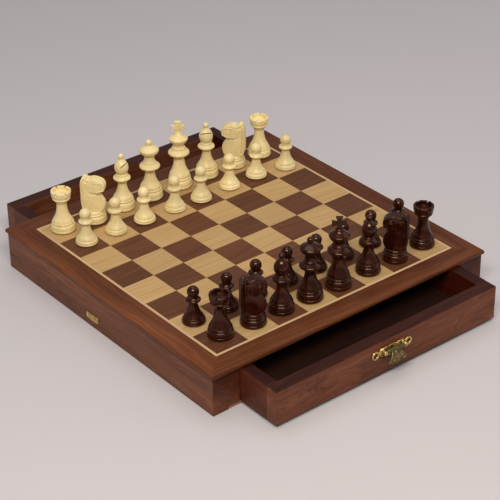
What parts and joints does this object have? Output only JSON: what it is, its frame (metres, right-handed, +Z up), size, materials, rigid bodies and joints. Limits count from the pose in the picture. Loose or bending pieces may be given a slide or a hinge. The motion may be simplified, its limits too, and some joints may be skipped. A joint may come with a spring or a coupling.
{
  "type": "chess set with board",
  "caption": "Wooden chess set: square inlaid board on a low box with a drawer at each of two opposite ends, brass shell pulls, and turned light and dark men set up for a game.",
  "frame": {"origin": "middle of the box's underside, on the table", "axes": "+Z up out of the board; +Y towards the light men's side, where the back drawer opens; +X along the ranks, towards the right of a viewer at the dark men's side"},
  "size_m": [0.301, 0.4072, 0.1069],
  "materials": {
    "boxwood": "polished, turned",
    "dark_rosewood": "glossy lacquer, turned",
    "cast_brass": "cast, lightly worn",
    "screw_steel": "zinc plated",
    "light_veneer": "satin lacquer",
    "dark_veneer": "satin lacquer",
    "inlay_line": "satin lacquer",
    "border_wood": "satin lacquer",
    "carcass_wood": "plain",
    "side_wood": "satin lacquer",
    "drawer_wood": "satin lacquer"
  },
  "bodies": {
    "box": {"top_panel": "carcass_wood", "light_squares": "light_veneer", "dark_squares": "dark_veneer", "stringing": "inlay_line", "border_long": "border_wood", "border_side": "border_wood", "side_left": "side_wood", "side_right": "side_wood", "bottom_panel": "carcass_wood", "divider": "carcass_wood", "panel_screws": "screw_steel", "name_plate": "cast_brass", "plate_pins": "cast_brass"},
    "front_drawer": {"fd_front": "drawer_wood", "fd_sides": "drawer_wood", "fd_back": "drawer_wood", "fd_floor": "drawer_wood", "fd_pull_plate": "cast_brass", "fd_pull_pins": "cast_brass"},
    "front_shell": {"fd_shell": "cast_brass"},
    "back_drawer": {"bd_front": "drawer_wood", "bd_sides": "drawer_wood", "bd_back": "drawer_wood", "bd_floor": "drawer_wood", "bd_pull_plate": "cast_brass", "bd_pull_pins": "cast_brass"},
    "back_shell": {"bd_shell": "cast_brass"},
    "white_rook_1_man": {"white_rook_1": "boxwood"},
    "white_knight_1_man": {"white_knight_1": "boxwood"},
    "white_bishop_1_man": {"white_bishop_1": "boxwood"},
    "white_queen_man": {"white_queen": "boxwood"},
    "white_king_man": {"white_king": "boxwood"},
    "white_bishop_2_man": {"white_bishop_2": "boxwood"},
    "white_knight_2_man": {"white_knight_2": "boxwood"},
    "white_rook_2_man": {"white_rook_2": "boxwood"},
    "white_pawn_1_man": {"white_pawn_1": "boxwood"},
    "white_pawn_2_man": {"white_pawn_2": "boxwood"},
    "white_pawn_3_man": {"white_pawn_3": "boxwood"},
    "white_pawn_4_man": {"white_pawn_4": "boxwood"},
    "white_pawn_5_man": {"white_pawn_5": "boxwood"},
    "white_pawn_6_man": {"white_pawn_6": "boxwood"},
    "white_pawn_7_man": {"white_pawn_7": "boxwood"},
    "white_pawn_8_man": {"white_pawn_8": "boxwood"},
    "black_rook_1_man": {"black_rook_1": "dark_rosewood"},
    "black_knight_1_man": {"black_knight_1": "dark_rosewood"},
    "black_bishop_1_man": {"black_bishop_1": "dark_rosewood"},
    "black_queen_man": {"black_queen": "dark_rosewood"},
    "black_king_man": {"black_king": "dark_rosewood"},
    "black_bishop_2_man": {"black_bishop_2": "dark_rosewood"},
    "black_knight_2_man": {"black_knight_2": "dark_rosewood"},
    "black_rook_2_man": {"black_rook_2": "dark_rosewood"},
    "black_pawn_1_man": {"black_pawn_1": "dark_rosewood"},
    "black_pawn_2_man": {"black_pawn_2": "dark_rosewood"},
    "black_pawn_3_man": {"black_pawn_3": "dark_rosewood"},
    "black_pawn_4_man": {"black_pawn_4": "dark_rosewood"},
    "black_pawn_5_man": {"black_pawn_5": "dark_rosewood"},
    "black_pawn_6_man": {"black_pawn_6": "dark_rosewood"},
    "black_pawn_7_man": {"black_pawn_7": "dark_rosewood"},
    "black_pawn_8_man": {"black_pawn_8": "dark_rosewood"}
  },
  "joints": [
    {"name": "front_drawer_slide", "type": "slide", "parent": "box", "child": "front_drawer", "axis": [0, -1, 0], "range_m": [-0.0447, 0.055]},
    {"name": "front_shell_hinge", "type": "hinge", "parent": "front_drawer", "child": "front_shell", "pos_m": [0, -0.1981, 0.0264], "axis": [-1, 0, 0], "range_deg": [0, 95]},
    {"name": "back_drawer_slide", "type": "slide", "parent": "box", "child": "back_drawer", "axis": [0, 1, 0], "range_m": [-0.0465, 0.053]},
    {"name": "back_shell_hinge", "type": "hinge", "parent": "back_drawer", "child": "back_shell", "pos_m": [0, 0.1999, 0.0264], "axis": [1, 0, 0], "range_deg": [0, 95]},
    {"name": "white_rook_1_lift", "type": "slide", "parent": "box", "child": "white_rook_1_man", "axis": [0, 0, 1], "range_m": [0, 0.08]},
    {"name": "white_knight_1_lift", "type": "slide", "parent": "box", "child": "white_knight_1_man", "axis": [0, 0, 1], "range_m": [0, 0.08]},
    {"name": "white_bishop_1_lift", "type": "slide", "parent": "box", "child": "white_bishop_1_man", "axis": [0, 0, 1], "range_m": [0, 0.08]},
    {"name": "white_queen_lift", "type": "slide", "parent": "box", "child": "white_queen_man", "axis": [0, 0, 1], "range_m": [0, 0.08]},
    {"name": "white_king_lift", "type": "slide", "parent": "box", "child": "white_king_man", "axis": [0, 0, 1], "range_m": [0, 0.08]},
    {"name": "white_bishop_2_lift", "type": "slide", "parent": "box", "child": "white_bishop_2_man", "axis": [0, 0, 1], "range_m": [0, 0.08]},
    {"name": "white_knight_2_lift", "type": "slide", "parent": "box", "child": "white_knight_2_man", "axis": [0, 0, 1], "range_m": [0, 0.08]},
    {"name": "white_rook_2_lift", "type": "slide", "parent": "box", "child": "white_rook_2_man", "axis": [0, 0, 1], "range_m": [0, 0.08]},
    {"name": "white_pawn_1_lift", "type": "slide", "parent": "box", "child": "white_pawn_1_man", "axis": [0, 0, 1], "range_m": [0, 0.08]},
    {"name": "white_pawn_2_lift", "type": "slide", "parent": "box", "child": "white_pawn_2_man", "axis": [0, 0, 1], "range_m": [0, 0.08]},
    {"name": "white_pawn_3_lift", "type": "slide", "parent": "box", "child": "white_pawn_3_man", "axis": [0, 0, 1], "range_m": [0, 0.08]},
    {"name": "white_pawn_4_lift", "type": "slide", "parent": "box", "child": "white_pawn_4_man", "axis": [0, 0, 1], "range_m": [0, 0.08]},
    {"name": "white_pawn_5_lift", "type": "slide", "parent": "box", "child": "white_pawn_5_man", "axis": [0, 0, 1], "range_m": [0, 0.08]},
    {"name": "white_pawn_6_lift", "type": "slide", "parent": "box", "child": "white_pawn_6_man", "axis": [0, 0, 1], "range_m": [0, 0.08]},
    {"name": "white_pawn_7_lift", "type": "slide", "parent": "box", "child": "white_pawn_7_man", "axis": [0, 0, 1], "range_m": [0, 0.08]},
    {"name": "white_pawn_8_lift", "type": "slide", "parent": "box", "child": "white_pawn_8_man", "axis": [0, 0, 1], "range_m": [0, 0.08]},
    {"name": "black_rook_1_lift", "type": "slide", "parent": "box", "child": "black_rook_1_man", "axis": [0, 0, 1], "range_m": [0, 0.08]},
    {"name": "black_knight_1_lift", "type": "slide", "parent": "box", "child": "black_knight_1_man", "axis": [0, 0, 1], "range_m": [0, 0.08]},
    {"name": "black_bishop_1_lift", "type": "slide", "parent": "box", "child": "black_bishop_1_man", "axis": [0, 0, 1], "range_m": [0, 0.08]},
    {"name": "black_queen_lift", "type": "slide", "parent": "box", "child": "black_queen_man", "axis": [0, 0, 1], "range_m": [0, 0.08]},
    {"name": "black_king_lift", "type": "slide", "parent": "box", "child": "black_king_man", "axis": [0, 0, 1], "range_m": [0, 0.08]},
    {"name": "black_bishop_2_lift", "type": "slide", "parent": "box", "child": "black_bishop_2_man", "axis": [0, 0, 1], "range_m": [0, 0.08]},
    {"name": "black_knight_2_lift", "type": "slide", "parent": "box", "child": "black_knight_2_man", "axis": [0, 0, 1], "range_m": [0, 0.08]},
    {"name": "black_rook_2_lift", "type": "slide", "parent": "box", "child": "black_rook_2_man", "axis": [0, 0, 1], "range_m": [0, 0.08]},
    {"name": "black_pawn_1_lift", "type": "slide", "parent": "box", "child": "black_pawn_1_man", "axis": [0, 0, 1], "range_m": [0, 0.08]},
    {"name": "black_pawn_2_lift", "type": "slide", "parent": "box", "child": "black_pawn_2_man", "axis": [0, 0, 1], "range_m": [0, 0.08]},
    {"name": "black_pawn_3_lift", "type": "slide", "parent": "box", "child": "black_pawn_3_man", "axis": [0, 0, 1], "range_m": [0, 0.08]},
    {"name": "black_pawn_4_lift", "type": "slide", "parent": "box", "child": "black_pawn_4_man", "axis": [0, 0, 1], "range_m": [0, 0.08]},
    {"name": "black_pawn_5_lift", "type": "slide", "parent": "box", "child": "black_pawn_5_man", "axis": [0, 0, 1], "range_m": [0, 0.08]},
    {"name": "black_pawn_6_lift", "type": "slide", "parent": "box", "child": "black_pawn_6_man", "axis": [0, 0, 1], "range_m": [0, 0.08]},
    {"name": "black_pawn_7_lift", "type": "slide", "parent": "box", "child": "black_pawn_7_man", "axis": [0, 0, 1], "range_m": [0, 0.08]},
    {"name": "black_pawn_8_lift", "type": "slide", "parent": "box", "child": "black_pawn_8_man", "axis": [0, 0, 1], "range_m": [0, 0.08]}
  ]
}
